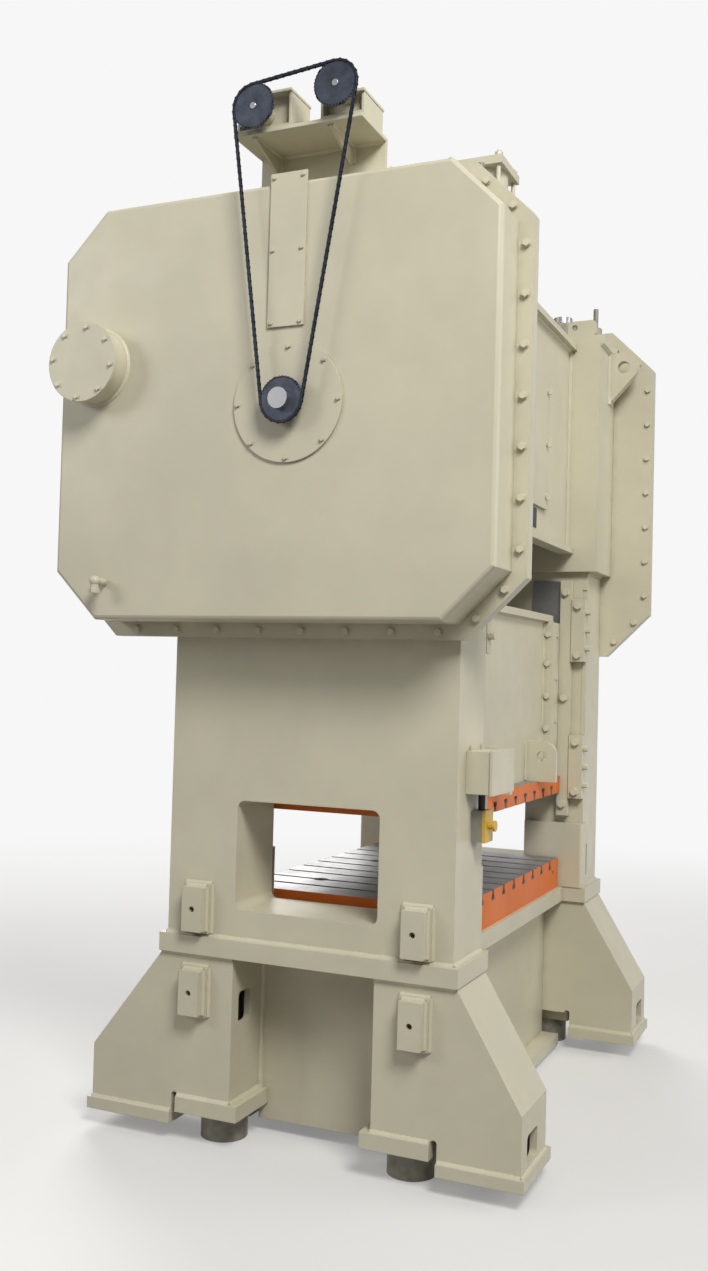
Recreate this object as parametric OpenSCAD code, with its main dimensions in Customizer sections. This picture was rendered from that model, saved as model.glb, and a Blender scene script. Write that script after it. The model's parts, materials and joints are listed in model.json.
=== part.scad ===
// Straight-side mechanical stamping press with two points and a gear case at each end.
// Millimetres. X runs along the bed from left to right, Y from front to back and Z up.
// Heights are counted from the floor, and place() then lowers the whole press,
// so that the origin lies at the centre of the bolster's top face.

/* [Uprights] */
// Clear width between the two uprights
inner_w = 1620; // [1580:10:1700]
// Thickness of an upright, left to right
upright_t = 300; // [280:5:340]
// Depth of an upright, front to back
upright_d = 1176; // [1160:2:1240]
// Height of an upright between bed and crown
upright_h = 1564; // [1530:2:1640]
// Width of the feed window in each upright
window_w = 588; // [480:4:600]
// Height of the feed window
window_h = 414; // [360:2:440]
// Height of the window's sill above the bed's top face
sill_h = 114; // [100:1:130]
// Radius of the window's corners
window_r = 30; // [15:1:50]

/* [Bed] */
// Height of the bed's top face above the floor
bed_top = 798; // [780:1:850]
// Thickness of the bed's top plate
plinth_t = 71; // [60:1:80]
// How far the bed's top plate stands out past an upright
plinth_lip = 22; // [15:1:30]
// Depth of the bed's box between the legs
bed_box_d = 816; // [780:4:840]
// Thickness of the bed's plates
bed_plate = 38; // [30:1:45]
// Thickness of a leg, left to right
leg_t = 321; // [300:1:330]
// Distance from the middle to a leg's inner face, front to back
leg_inner = 291; // [280:1:300]
// Distance from the middle to a front leg's toe
front_toe = 851; // [820:1:880]
// Distance from the middle to a rear leg's toe
rear_toe = 912; // [880:1:940]
// Height of a leg's shoulder, where its slope ends
shoulder_z = 323; // [300:1:350]
// Thickness of an outer foot plate
foot_t = 43; // [35:1:50]
// Height of an outer foot plate's underside
foot_z = 69; // [60:1:75]
// Thickness of an inner foot plate
inner_foot_t = 58; // [50:1:64]
// Height of an inner foot plate's underside
inner_foot_z = 118; // [114:1:126]

/* [Bolster and slide] */
// Gap between the bolster's end and an upright
bolster_gap = 48; // [45:1:60]
// Depth of the bolster and the slide plate
bolster_d = 960; // [940:2:980]
// Thickness of the bolster
bolster_t = 142; // [130:1:150]
// Distance between T-slots
slot_pitch = 152.4; // [140:0.2:160]
// Number of T-slots
slot_n = 9; // [5:2:9]
// Width of a T-slot's throat
slot_w = 26; // [20:1:30]
// Depth of a T-slot
slot_depth = 42; // [38:1:46]
// Open height between the bolster and the slide plate at the bottom of the stroke
shut_h = 323; // [300:1:340]
// Thickness of the slide plate
slide_plate_t = 81; // [70:1:90]
// Height of the slide above its plate
slide_h = 794; // [760:2:820]
// Depth of the slide's box
slide_d = 840; // [820:2:860]
// Width of a guide arm of the slide, left to right
arm_w = 146; // [136:1:156]
// Depth of the guide arms
arm_d = 926; // [910:2:936]
// Thickness of the liners between the guide arms and the uprights
liner_t = 12; // [8:1:20]
// Stroke of the slide
stroke = 152; // [120:2:160]

/* [Crown] */
// Height of the crown
crown_h = 1141; // [1120:1:1180]
// Depth of the crown's two ends
crown_end_d = 1280; // [1260:2:1300]
// Depth of the crown's middle
crown_mid_d = 974; // [950:2:990]
// Height of the middle's underside above the joint with the uprights
crown_lift = 90; // [80:1:110]
// Thickness of the crown's plates
crown_plate = 38; // [30:1:44]
// Height of the crankshaft's axis above the joint with the uprights
crank_rise = 424; // [410:1:440]

/* [Gear cases] */
// Front edge of a gear cover, from the middle
cover_front = 786; // [775:1:800]
// Rear edge of a gear cover, from the middle
cover_rear = 997; // [990:1:1020]
// Depth of a gear cover, from its flange to its face
cover_depth = 206; // [200:1:230]
// Distance from the crankshaft's axis down to the cover's underside
cover_down = 782; // [770:1:800]
// Distance from the crankshaft's axis up to the cover's top
cover_up = 805; // [790:1:830]
// Corner cut of a gear cover
cover_cut = 184; // [160:1:200]
// Width of the cover's bolted flange
flange_w = 55; // [45:1:60]
// Sheet thickness of a gear cover
cover_wall = 8; // [6:1:9]
// Thickness of a gear case's back plate
back_t = 44; // [36:1:50]

/* [Drive] */
// Gear module
gear_m = 12; // [11:0.5:12]
// Teeth on a bull gear
bull_n = 118; // [110:2:118]
// Teeth on a pinion
pinion_n = 24; // [20:2:26]
// Face width of the gears
gear_w = 130; // [110:5:140]
// Radius of the crankshaft's main journals
journal_r = 100; // [90:1:110]
// Radius of the pinion shaft
pinion_shaft_r = 60; // [50:1:66]
// Outer radius of the flywheel
flywheel_r = 520; // [480:5:540]
// Width of the flywheel's rim
flywheel_w = 150; // [130:5:170]
// Radius of a tie rod
tie_rod_r = 50; // [44:1:56]

/* [Cam drive] */
// Chain pitch
chain_pitch = 25.4; // [25:0.1:26]
// Teeth on each chain sprocket
sprocket_n = 20; // [20:4:24]
// Height of the rear cam shaft above the crankshaft
rear_cam_rise = 1078; // [1070:1:1110]
// Height of the front cam shaft above the crankshaft
front_cam_rise = 1106; // [1095:1:1130]
// Distance of the rear cam shaft behind the crankshaft
rear_cam_y = 146; // [140:1:160]
// Distance of the front cam shaft in front of the crankshaft
front_cam_y = 180; // [170:1:190]

/* [Hidden] */
$fn = 64;

cream = "#c9c6ac";
steel = "#a5a5a8";
dark = "#23252b";
orange = "#d9743f";
fit = 0.3;        // gap between faces that slide past each other
run_gap = 0.05;   // radial gap of a shaft in its bush

// Places along X
x_in = inner_w / 2;
x_out = x_in + upright_t;
x_leg_out = x_out + round(plinth_lip / 3);
x_leg_in = x_leg_out - leg_t;
x_end_plate = x_leg_out - 247;
x_foot_out = x_out + plinth_lip;
x_foot_in = x_leg_in - 24;
x_tie = x_in + upright_t / 2;
x_flange = x_out + back_t;
x_face = x_flange + cover_depth;
x_rod = 360;      // connecting rods, left and right of the middle
x_arm = x_in - liner_t;
x_arm_in = x_arm - arm_w;
bolster_w = inner_w - 2 * bolster_gap;
// Places along Y
y_up = upright_d / 2;
y_plinth = y_up + 25;
y_bed = bed_box_d / 2;
y_bolster = bolster_d / 2;
y_slide = slide_d / 2;
y_arm = arm_d / 2;
y_tie = (window_w / 2 + y_up) / 2 - 46;
y_end = crown_end_d / 2;
y_mid = crown_mid_d / 2;
y_notch = 533;    // middle of the gap between the inner and outer foot plates
notch_w = 24;
// Heights above the floor
z_top = bed_top + bolster_t;
z_sill = bed_top + sill_h;
z_slide = z_top + shut_h;
z_slide_top = z_slide + slide_plate_t + slide_h;
z_joint = bed_top + upright_h;
z_mid = z_joint + crown_lift;
z_crown = z_joint + crown_h;
z_crank = z_joint + crank_rise;
cap_t = 45;       // top plates over the crown's ends
z_cap = z_crown + cap_t;
// Gears
throw = stroke / 2;
bull_r = gear_m * bull_n / 2;
pinion_r = gear_m * pinion_n / 2;
mesh_angle = 12.8;
y_back = (bull_r + pinion_r) * cos(mesh_angle);
z_back = z_crank + (bull_r + pinion_r) * sin(mesh_angle);
x_gear = x_flange + 26;
eccentric_r = throw + journal_r + 9;
rod_w = 160;
big_end_r = eccentric_r + 48;

module place() translate([0, 0, -z_top]) children();
// Draws in the Y-Z plane and extrudes towards +X.
module along_x(from, length) translate([from, 0, 0]) rotate([90, 0, 90]) linear_extrude(length) children();
// Draws in the X-Z plane and extrudes towards +Y.
module along_y(from, length) translate([0, from + length, 0]) rotate([90, 0, 0]) linear_extrude(length) children();
module rod_x(from, length, r, y = 0, z = 0) translate([from, y, z]) rotate([0, 90, 0]) cylinder(h = length, r = r);
module rod_y(from, length, r, x = 0, z = 0) translate([x, from, z]) rotate([-90, 0, 0]) cylinder(h = length, r = r);
module rod_z(from, length, r, x = 0, y = 0) translate([x, y, from]) cylinder(h = length, r = r);
module box(low, high) translate(low) cube(high - low);
// Builds what is drawn for the right side on either side.
module on_side(s) { if (s < 0) mirror([1, 0, 0]) children(); else children(); }
module on_front(s) { if (s < 0) mirror([0, 1, 0]) children(); else children(); }
module rounded(w, h, r) {
    square([w - 2 * r, h], center = true);
    square([w, h - 2 * r], center = true);
    for (i = [-1, 1], j = [-1, 1]) translate([i * (w / 2 - r), j * (h / 2 - r)]) circle(r);
}
// A hexagon head and its washer, pointing along +X from the face at x = 0.
module hex_head_x(r, t) {
    rod_x(0, t * 0.2, r * 1.15);
    translate([t * 0.2, 0, 0]) rotate([0, 90, 0]) cylinder(h = t * 0.8, r = r, $fn = 6);
}

bed_z = 20;       // underside of the bed's front and rear plates

// Bed: one weldment of top plate, box, four flared legs and their foot plates
function leg_outline(toe, wall) = [
    [leg_inner + wall, bed_top - plinth_t + (wall > 0 ? 1 : 0) - wall],
    [y_up + 16 - wall * 1.2, bed_top - plinth_t + (wall > 0 ? 1 : 0) - wall],
    [toe - wall, shoulder_z - wall * 0.4],
    [toe - wall, foot_z + foot_t],
    [y_notch - 1, foot_z + foot_t],
    [y_notch - 1, inner_foot_z + inner_foot_t],
    [leg_inner + wall, inner_foot_z + inner_foot_t]];
module leg(toe) {
    wall = 28;
    difference() {
        union() {
            along_x(x_leg_in, leg_t) polygon(leg_outline(toe, 0));
            box([x_foot_in, y_notch + notch_w / 2, foot_z], [x_foot_out, toe + 15, foot_z + foot_t + 1]);
            box([x_end_plate - 8, leg_inner - 38, inner_foot_z],
                [x_foot_out, y_notch - notch_w / 2, inner_foot_z + inner_foot_t + 1]);
        }
        along_x(x_leg_in + wall, leg_t - 2 * wall) polygon(leg_outline(toe, wall));
        // gap between the two foot plates, with a round top in the leg's sides
        along_x(x_leg_in - 1, leg_t + 2) union() {
            translate([y_notch - notch_w / 2, foot_z - 1]) square([notch_w, inner_foot_z + 60 - foot_z]);
            translate([y_notch, inner_foot_z + 59]) circle(notch_w / 2);
        }
        // lifting slot in the toe and hand hole in the inner face
        along_y(toe - wall - 1, wall + 2) translate([(x_leg_in + x_leg_out) / 2 + 20, foot_z + foot_t + 70])
            rounded(132, 104, 20);
        along_y(leg_inner - 1, wall + 2) translate([(x_leg_in + x_leg_out) / 2 + 60, bed_top - plinth_t - 200])
            rounded(96, 124, 20);
        rod_z(0, bed_top, tie_rod_r + 6, x_tie, y_tie);
    }
}
module bed() color(cream) difference() {
    union() {
        for (s = [-1, 1]) on_side(s) {
            difference() {
                box([x_in - 30, -y_plinth, bed_top - plinth_t], [x_foot_out, y_plinth, bed_top]);
                for (f = [-1, 1]) rod_z(0, bed_top + 1, tie_rod_r + 6, x_tie, f * y_tie);
            }
            on_front(-1) leg(front_toe);
            leg(rear_toe);
            box([x_end_plate - bed_plate, -leg_inner - 1, bed_z + 35], [x_end_plate, leg_inner + 1, bed_top - plinth_t + 1]);
        }
        box([-x_in + 29, -y_bolster - 22, bed_top - plinth_t], [x_in - 29, y_bolster + 22, bed_top]);
        for (f = [-1, 1]) on_front(f) {
            box([-x_leg_in - 1, y_bed - bed_plate, bed_z], [x_leg_in + 1, y_bed, bed_top - plinth_t + 1]);
            box([-x_leg_in, y_bed - bed_plate, bed_z], [x_leg_in, y_bolster + 12, bed_z + 50]);
        }
        for (x = [-x_leg_in / 3, x_leg_in / 3])
            box([x - bed_plate / 2, -y_bed + 1, bed_z], [x + bed_plate / 2, y_bed - 1, bed_top - plinth_t + 1]);
    }
    // scrap opening through the bed's top plate
    box([-240, -240, bed_top - plinth_t - 1], [240, 240, bed_top + 1]);
}

// Uprights: hollow columns with a lined feed window
module upright(s) color(cream) on_side(s) difference() {
    box([x_in, -y_up, bed_top], [x_out, y_up, z_joint]);
    along_x(x_in - 1, upright_t + 2) translate([0, z_sill + window_h / 2]) rounded(window_w, window_h, window_r);
    for (f = [-1, 1]) on_front(f)
        box([x_in + 40, window_w / 2 + 30, bed_top - 1], [x_out - 40, y_up - 40, z_joint + 1]);
    // shallow step in the inner face, where the slide's guides are let in
    box([x_in - 1, -y_up - 1, z_sill + window_h + 40], [x_in + 6, -y_up + 22, z_joint - 90]);
    box([x_in - 1, y_up - 22, z_sill + window_h + 40], [x_in + 6, y_up + 1, z_joint - 90]);
}

// Crown: a box open below, with solid bearing ends and a bracket for the pinion shaft
lug_z = z_crown - 78;
lug_y = y_end + 74;
module lug_outline() {
    translate([lug_y, lug_z]) circle(74);
    polygon([[y_end - 1, lug_z + 74], [lug_y, lug_z + 74], [lug_y + 52, lug_z - 52], [y_end - 1, lug_z - 190]]);
}
module crown() color(cream) difference() {
    union() {
        for (s = [-1, 1]) on_side(s) {
            box([x_in - 38, -y_end, z_joint], [x_out, y_end, z_crown]);
            box([x_in - 38, -y_end - 15, z_crown - 1], [x_out + 20, y_end + 15, z_cap]);
            box([x_in - 38, y_end - 1, z_back - 170], [x_out, y_back + 130, z_back + 150]);
            for (f = [-1, 1]) on_front(f) along_x(x_tie + 10, 45) difference() {
                lug_outline();
                translate([lug_y, lug_z]) circle(30);
            }
            // lifting eye on the crown's end
            along_x(x_in - 38, 25) difference() {
                translate([-y_end + 98, z_cap + 36]) rounded(142, 80, 22);
                translate([-y_end + 133, z_cap + 43]) circle(14);
            }
        }
        box([-x_in + 37, -y_mid, z_mid], [x_in - 37, y_mid, z_crown]);
        box([-x_in + 37, -y_mid - 34, z_crown - 30], [x_in - 37, y_mid + 34, z_crown]);
        box([-x_in + 37, -y_mid - 34, z_mid], [x_in - 37, y_mid + 34, z_mid + 27]);
    }
    box([-x_in + 38, -y_mid + crown_plate, z_mid - 1], [x_in - 38, y_mid - crown_plate, z_crown - crown_plate]);
    // the ends are boxes round the bearings
    for (s = [-1, 1]) on_side(s) {
        box([x_in, -y_end + crown_plate, z_joint + 40], [x_out - 40, -190, z_crown - 40]);
        box([x_in, 190, z_joint + 40], [x_out - 40, y_end - crown_plate, z_back - 120]);
        box([x_in, 190, z_back + 120], [x_out - 40, y_end - crown_plate, z_crown - 40]);
        box([x_in, -150, z_joint + 40], [x_out - 40, 150, z_crank - 165]);
        box([x_in, -150, z_crank + 165], [x_out - 40, 150, z_crown - 40]);
    }
    // bearings, tie rods, balance cylinder rods and access opening
    rod_x(-x_out - 1, 2 * x_out + 2, journal_r + 25, 0, z_crank);
    rod_x(-x_out - 1, 2 * x_out + 2, pinion_shaft_r + run_gap, y_back, z_back);
    for (s = [-1, 1], f = [-1, 1]) rod_z(z_joint - 1, crown_h + cap_t + 3, tie_rod_r + 6, s * x_tie, f * y_tie);
    for (f = [-1, 1]) rod_z(z_crown - 60, 80, balance_rod_r + 4, 0, f * y_balance);
    box([door_x0 + 40, -y_mid - 1, door_z0 + 40], [door_x1 - 40, -y_mid + crown_plate + 1, door_z1 - 40]);
}
door_x0 = -332;
door_x1 = 332;
door_z0 = z_mid + 160;
door_z1 = z_crown - 279;
door_t = 16;
hinge_r = 10;
hinge_zs = [door_z0 + 70, (door_z0 + door_z1) / 2, door_z1 - 70];
module crown_door() color(cream) {
    box([door_x0, -y_mid - door_t, door_z0], [door_x1, -y_mid - 1, door_z1]);
    for (z = hinge_zs) {
        rod_z(z + 0.5, 44, hinge_r, door_x0 - hinge_r - 1, -y_mid - door_t);
        box([door_x0 - hinge_r, -y_mid - door_t - 4, z + 0.5], [door_x0 + 40, -y_mid - door_t + 2, z + 44.5]);
    }
}
module door_hinges() color(cream) for (z = hinge_zs) {
    rod_z(z - 44, 44, hinge_r, door_x0 - hinge_r - 1, -y_mid - door_t);
    box([door_x0 - hinge_r - 40, -y_mid - door_t + 3, z - 44], [door_x0 - hinge_r - 5, -y_mid, z]);
}
module door_latches() color(steel) for (z = [door_z0 + 60, (door_z0 + door_z1) / 2, door_z1 - 60]) {
    rod_y(-y_mid - door_t - 6, 6, 15, door_x1 - 30, z);
    box([door_x1 - 35, -y_mid - door_t - 24, z - 17], [door_x1 - 25, -y_mid - door_t - 5, z + 17]);
}
module blank_plate() color(dark) box([door_x1 - 291, -y_mid - 3, z_mid + 61], [door_x1 - 132, -y_mid, z_mid + 151]);

// Tie rods through crown, uprights and bed, with their nuts
module tie_rods() color(steel) for (s = [-1, 1], f = [-1, 1])
    rod_z(20, z_cap + 150 - 20, tie_rod_r, s * x_tie, f * y_tie);
module tie_rod_nuts() color(steel) for (s = [-1, 1], f = [-1, 1]) translate([s * x_tie, f * y_tie, 0]) {
    difference() {
        cylinder(h = inner_foot_z, r = 92);
        translate([0, 0, 20]) cylinder(h = inner_foot_z, r = tie_rod_r);
    }
    translate([0, 0, z_cap]) difference() {
        union() {
            cylinder(h = 22, r = 92);
            translate([0, 0, 22]) cylinder(h = 88, r = 88, $fn = 6);
        }
        translate([0, 0, -1]) cylinder(h = 120, r = tie_rod_r);
    }
    // stud and nut in front of it
    translate([20, f * (y_end - y_tie - 76), z_cap]) {
        cylinder(h = 190, r = 13);
        cylinder(h = 88, r = 34, $fn = 6);
    }
}

// Bolster and slide plate, both with T-slots from front to back
module t_slots() for (i = [0:slot_n - 1]) translate([(i - (slot_n - 1) / 2) * slot_pitch, 0]) {
    translate([-slot_w / 2, -slot_depth]) square([slot_w, slot_depth + 1]);
    translate([-slot_w * 0.85, -slot_depth]) square([slot_w * 1.7, slot_depth * 0.42]);
}
module bolster() color(orange) difference() {
    box([-bolster_w / 2, -y_bolster, bed_top], [bolster_w / 2, y_bolster, z_top]);
    translate([0, 0, z_top]) along_y(-y_bolster - 1, bolster_d + 2) t_slots();
    for (i = [-3, 1], j = [-1, 1]) rod_z(bed_top - 1, bolster_t + 2, 32, i * slot_pitch, j * bolster_d / 4);
    for (x = [-bolster_w / 2 + 90, bolster_w / 2 - 90]) rod_y(-y_bolster - 1, 40, 12, x, z_top - 62);
}
module slide_plate() color(orange) difference() {
    box([-bolster_w / 2, -y_bolster, z_slide], [bolster_w / 2, y_bolster, z_slide + slide_plate_t]);
    translate([0, 0, z_slide]) mirror([0, 0, 1]) along_y(-y_bolster - 1, bolster_d + 2) t_slots();
}

// Slide: a box with guide arms at its corners, pockets for the rods and lifting lugs
module slide_lug() along_x(0, 30) difference() {
    union() {
        translate([y_slide - 1, 0]) square([92, 190]);
        translate([y_slide - 1, 0]) square([146, 130]);
        translate([y_slide + 90, 130]) circle(55);
    }
    translate([y_slide + 78, 118]) circle(24);
}
module slide() color(cream) {
    z0 = z_slide + slide_plate_t;
    difference() {
        union() {
            box([-x_arm_in, -y_slide, z0], [x_arm_in, y_slide, z_slide_top]);
            for (s = [-1, 1]) on_side(s) {
                box([x_arm_in - 1, -y_arm, z0], [x_arm, y_arm, z_slide_top - 36]);
                for (f = [-1, 1]) on_front(f)
                    box([x_arm_in - 24, y_slide - 1, z0], [x_arm_in, y_arm, z_slide_top - 30]);
            }
            box([-x_arm + 86, -y_slide - 24, z_slide_top - 33], [x_arm - 86, y_slide + 24, z_slide_top]);
            for (s = [-1, 1], f = [-1, 1]) on_front(f) translate([s * 365 - 15, 0, z0]) slide_lug();
        }
        for (s = [-1, 1]) box([s * x_rod - 125, -180, z0 + 40], [s * x_rod + 125, 180, z_slide_top + 1]);
        // inner face of each arm column is open below the flange, as the weldment is
        for (s = [-1, 1]) on_side(s) box([x_arm - 66, -y_slide + 60, z0 + 60], [x_arm + 1, y_slide - 60, z_slide_top - 90]);
    }
}

// Guides: fixed liners beside the slide's arms, gib rails before them, blocks that set the rails
// Bolts of the guide arms, on the ribs and on the arms' front faces
module slide_bolts() color(steel) for (s = [-1, 1], f = [-1, 1]) on_side(s) on_front(f) {
    for (k = [0.1, 0.3, 0.5, 0.7, 0.88]) translate([x_arm_in - 24, (y_slide + y_arm) / 2, z_slide + slide_plate_t + k * slide_h])
        mirror([1, 0, 0]) hex_head_x(15, 14);
    for (k = [0.08, 0.36, 0.64, 0.92]) translate([x_arm_in + 60, y_arm, z_slide + slide_plate_t + k * (slide_h - 40)])
        rotate([0, 0, 90]) hex_head_x(9, 8);
}
rail_z0 = z_slide - 114;
rail_top = z_joint - 45;
rail_h = rail_top - rail_z0;
block_h = 312;
block_zs = [z_slide - 26, rail_top - 92 - block_h];
rail_in = x_in - 42;
y_rail = y_arm + fit;
rail_d = 56;
y_block = y_rail + rail_d + 2;
block_d = 68;
module side_liners() color(steel) for (s = [-1, 1], f = [-1, 1]) on_side(s) on_front(f)
    box([x_arm + fit, window_w / 2 + 20, z_slide + 30], [x_in, y_arm - 8, rail_top]);
module gib_rails() color(cream) for (s = [-1, 1], f = [-1, 1]) on_side(s) on_front(f)
    box([rail_in, y_rail, rail_z0], [x_in, y_rail + rail_d, rail_z0 + rail_h]);
module gib_blocks() color(cream) for (s = [-1, 1], f = [-1, 1], z = block_zs) on_side(s) on_front(f)
    difference() {
        box([rail_in - 6, y_block, z], [x_in, y_block + block_d, z + block_h]);
        for (k = [-1, 1]) rod_x(rail_in - 7, 12, 9, y_block + block_d / 2, z + block_h / 2 + k * (block_h / 2 - 34));
    }
module gib_bolts() color(steel) for (s = [-1, 1], f = [-1, 1]) on_side(s) on_front(f) {
    for (k = [0.05, 0.5, 0.95]) translate([rail_in, y_rail + rail_d / 2, rail_z0 + k * rail_h])
        mirror([1, 0, 0]) hex_head_x(19, 18);
    for (z = block_zs) {
        for (k = [-1, 1]) translate([rail_in - 6, y_block + block_d / 2, z + block_h / 2 + k * (block_h / 2 - 34)])
            mirror([1, 0, 0]) hex_head_x(19, 18);
        for (k = [-1, 0, 1]) translate([rail_in + 21, y_block + block_d, z + block_h / 2 + k * 90])
            rotate([0, 0, 90]) hex_head_x(14, 24);
    }
}
// Folded guards over the uprights' lower inner corners
guard_gap = bolster_gap - 13;
guard_t = 4;
guard_h = 172;
module corner_guards() color(cream) for (s = [-1, 1], f = [-1, 1]) on_side(s) on_front(f) {
    lip = s < 0 ? 0 : 76;
    y_lip = y_up + (s < 0 ? 0 : 12);
    difference() {
        union() {
            box([x_in - guard_gap, window_w / 2 + 8, bed_top], [x_in + lip, y_lip - 20, z_top + guard_h]);
            box([x_in - guard_gap + 20, window_w / 2 + 8, bed_top], [x_in + lip, y_lip, z_top + guard_h]);
            rod_z(bed_top, z_top + guard_h - bed_top, 20, x_in - guard_gap + 20, y_lip - 20);
        }
        box([x_in - guard_gap + guard_t, window_w / 2 + 7, bed_top - 1], [x_in + 200, y_lip - 20, z_top + guard_h - guard_t]);
        box([x_in - guard_gap + 20, window_w / 2 + 7, bed_top - 1], [x_in + 200, y_lip - guard_t, z_top + guard_h - guard_t]);
        rod_z(bed_top - 1, z_top + guard_h - guard_t - bed_top + 1, 20 - guard_t, x_in - guard_gap + 20, y_lip - 20);
        box([x_in, window_w / 2, bed_top - 1], [x_in + 200, y_up, z_top + guard_h + 1]);
        along_y(y_up + 1, 20) translate([x_in + 40, z_top - 8]) rounded(28, 150, 12);
    }
}
// Key blocks welded across the joint between bed and upright
module key_blocks() color(cream) for (s = [-1, 1], f = [-1, 1], z = [bed_top - 210, bed_top + 107]) on_side(s) on_front(f) {
    x0 = z < bed_top ? x_leg_out : x_out;
    difference() {
        union() {
            along_x(x0, 18) translate([452, z]) rounded(116, 190, 6);
            along_x(x0 + 17, 40) translate([452, z]) rounded(88, 172, 4);
        }
        rod_x(x0 + 20, 50, 11, 452, z);
    }
}

// Gear cases: back plate, cover, bolts and shaft cap
function octagon(w) = let (c = cover_cut + w * (2 - sqrt(2)), f = -cover_front - w, r = cover_rear + w,
    b = z_crank - cover_down - w, t = z_crank + cover_up + w)
    [[f + c, t], [r - c, t], [r, t - c], [r, b + c], [r - c, b], [f + c, b], [f, b + c], [f, t - c]];
shaft_hole_r = pinion_shaft_r + 12;
cap_r = 151;
boss_len = 84;
module gear_case_back(s) color(cream) on_side(s) difference() {
    along_x(x_out, back_t) polygon(octagon(flange_w));
    rod_x(x_out - 1, back_t + 2, journal_r + 30, 0, z_crank);
    rod_x(x_out - 1, back_t + 2, shaft_hole_r, y_back, z_back);
    // room for the crown's top plate and the uprights' key blocks
    box([x_out - 1, -y_end - 18, z_crown - 2], [x_out + 22, y_end + 18, z_cap + 2]);
}
module gear_cover(s) color(cream) on_side(s) difference() {
    union() {
        hull() {
            along_x(x_flange, cover_depth - 20) polygon(octagon(0));
            along_x(x_face - 12, 1) polygon(octagon(-2));
            along_x(x_face - 5, 1) polygon(octagon(-7));
            along_x(x_face - 1, 1) polygon(octagon(-16));
        }
        along_x(x_flange, 14) polygon(octagon(flange_w));
        rod_x(x_face - 2, boss_len + 2, cap_r - 8, y_back, z_back);
    }
    along_x(x_flange - 1, cover_depth - cover_wall + 1) polygon(octagon(-cover_wall));
    rod_x(x_face - cover_wall - 1, boss_len + cover_wall + 2, cap_r - 24, y_back, z_back);
    if (s < 0) rod_x(x_face - cover_wall - 1, cover_wall + 2, 60, 0, z_crank);
}
// Points spaced along the sides of the flange's middle line
function flange_points() = let (p = octagon(flange_w * 0.52)) [for (i = [0:7])
    let (a = p[i], b = p[(i + 1) % 8], n = max(1, round(norm(b - a) / 170)))
    for (k = [0:n - 1]) a + (b - a) * (k + 0.5) / n];
module cover_bolts(s) color(steel) on_side(s) for (p = flange_points())
    translate([x_flange + 14, p[0], p[1]]) hex_head_x(14, 15);
module back_bolts(s) color(steel) on_side(s) for (p = flange_points())
    if (abs(p[0]) > y_end + 30 || p[1] < z_joint - 30 && abs(p[0]) > y_up + 20)
        translate([x_out, p[0], p[1]]) mirror([1, 0, 0]) hex_head_x(14, 15);
module shaft_cap(s) color(cream) on_side(s) difference() {
    rod_x(x_face + boss_len, 16, cap_r, y_back, z_back);
    if (s > 0) rod_x(x_face + boss_len - 1, 18, pinion_shaft_r + 1, y_back, z_back);
}
module cap_bolts() color(steel) for (s = [-1, 1], i = [0:7]) on_side(s)
    translate([x_face + boss_len + 16, y_back + (cap_r - 18) * cos(i * 45 + 8), z_back + (cap_r - 18) * sin(i * 45 + 8)])
        hex_head_x(9, 9);
// Plate round the crankshaft's end and the plate above it, on the left cover
seal_r = 217;
module crank_seal_plate() color(cream) on_side(-1) {
    difference() {
        rod_x(x_face, 8, seal_r, 0, z_crank);
        rod_x(x_face - 1, 10, 50, 0, z_crank);
    }
    for (i = [0:7]) translate([x_face + 8, (seal_r - 16) * cos(i * 45), z_crank + (seal_r - 16) * sin(i * 45)]) hex_head_x(8, 8);
}
slot_y = 17;
module slot_cover() color(cream) on_side(-1) {
    box([x_face, slot_y - 73, z_crank + 275], [x_face + 8, slot_y + 73, z_crank + cover_up + 31]);
    for (y = [-58, 58], z = [290, 555, 820]) translate([x_face + 8, slot_y + y, z_crank + z]) hex_head_x(7, 6);
}
module drain_elbow() color(cream) translate([-x_face, cover_rear - 232, z_crank - 640]) {
    rod_x(-62, 62, 15);
    translate([-62, 0, 0]) sphere(20);
    translate([-62, 0, -38]) cylinder(h = 38, r = 15);
    translate([-62, 0, -46]) cylinder(h = 18, r = 20, $fn = 6);
}

// Crankshaft with two eccentrics, its gears and its sprocket
x_sprocket = x_face + 54;
roller_r = 3.96;
chain_r = sprocket_n * chain_pitch / (2 * PI);
module crankshaft() color(steel) translate([0, 0, z_crank]) {
    rod_x(-x_in + 38, 2 * x_in - 76, journal_r - 10);
    for (s = [-1, 1]) on_side(s) {
        rod_x(x_in - 38, upright_t + 38 + 20, journal_r);
        rod_x(x_out + 20, back_t + gear_w + 16, journal_r - 18);
        rod_x(x_rod - rod_w / 2 - 4, rod_w + 8, eccentric_r, 0, -throw);
    }
    rod_x(-x_sprocket - 30, x_sprocket + 30 - x_out, 38);
}
// One gear's outline: straight-flanked teeth on the pitch radius
function tooth_ring(n, turn) = [for (i = [0:n - 1], p = [[-0.29, -1.25], [-0.13, 1], [0.13, 1], [0.29, -1.25]])
    let (a = (i + p[0]) * 360 / n + turn, r = gear_m * (n / 2 + p[1])) [r * cos(a), r * sin(a)]];
module bull_gear(s) color(steel) on_side(s) translate([0, 0, z_crank]) difference() {
    along_x(x_gear, gear_w) polygon(tooth_ring(bull_n, mesh_angle));
    for (x = [x_gear - 1, x_gear + gear_w - 38]) difference() {
        rod_x(x, 39, bull_r - 60);
        rod_x(x - 1, 41, journal_r + 70);
    }
    for (i = [0:5]) rod_x(x_gear - 1, gear_w + 2, 115, 430 * cos(i * 60), 430 * sin(i * 60));
    rod_x(x_gear - 1, gear_w + 2, journal_r - 18);
}
module sprocket_outline(turn) difference() {
    circle(chain_r - roller_r - fit);
    for (i = [0:2 * sprocket_n - 1]) rotate(i * 180 / sprocket_n + turn) translate([chain_r, 0]) circle(roller_r + 3);
}
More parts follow.
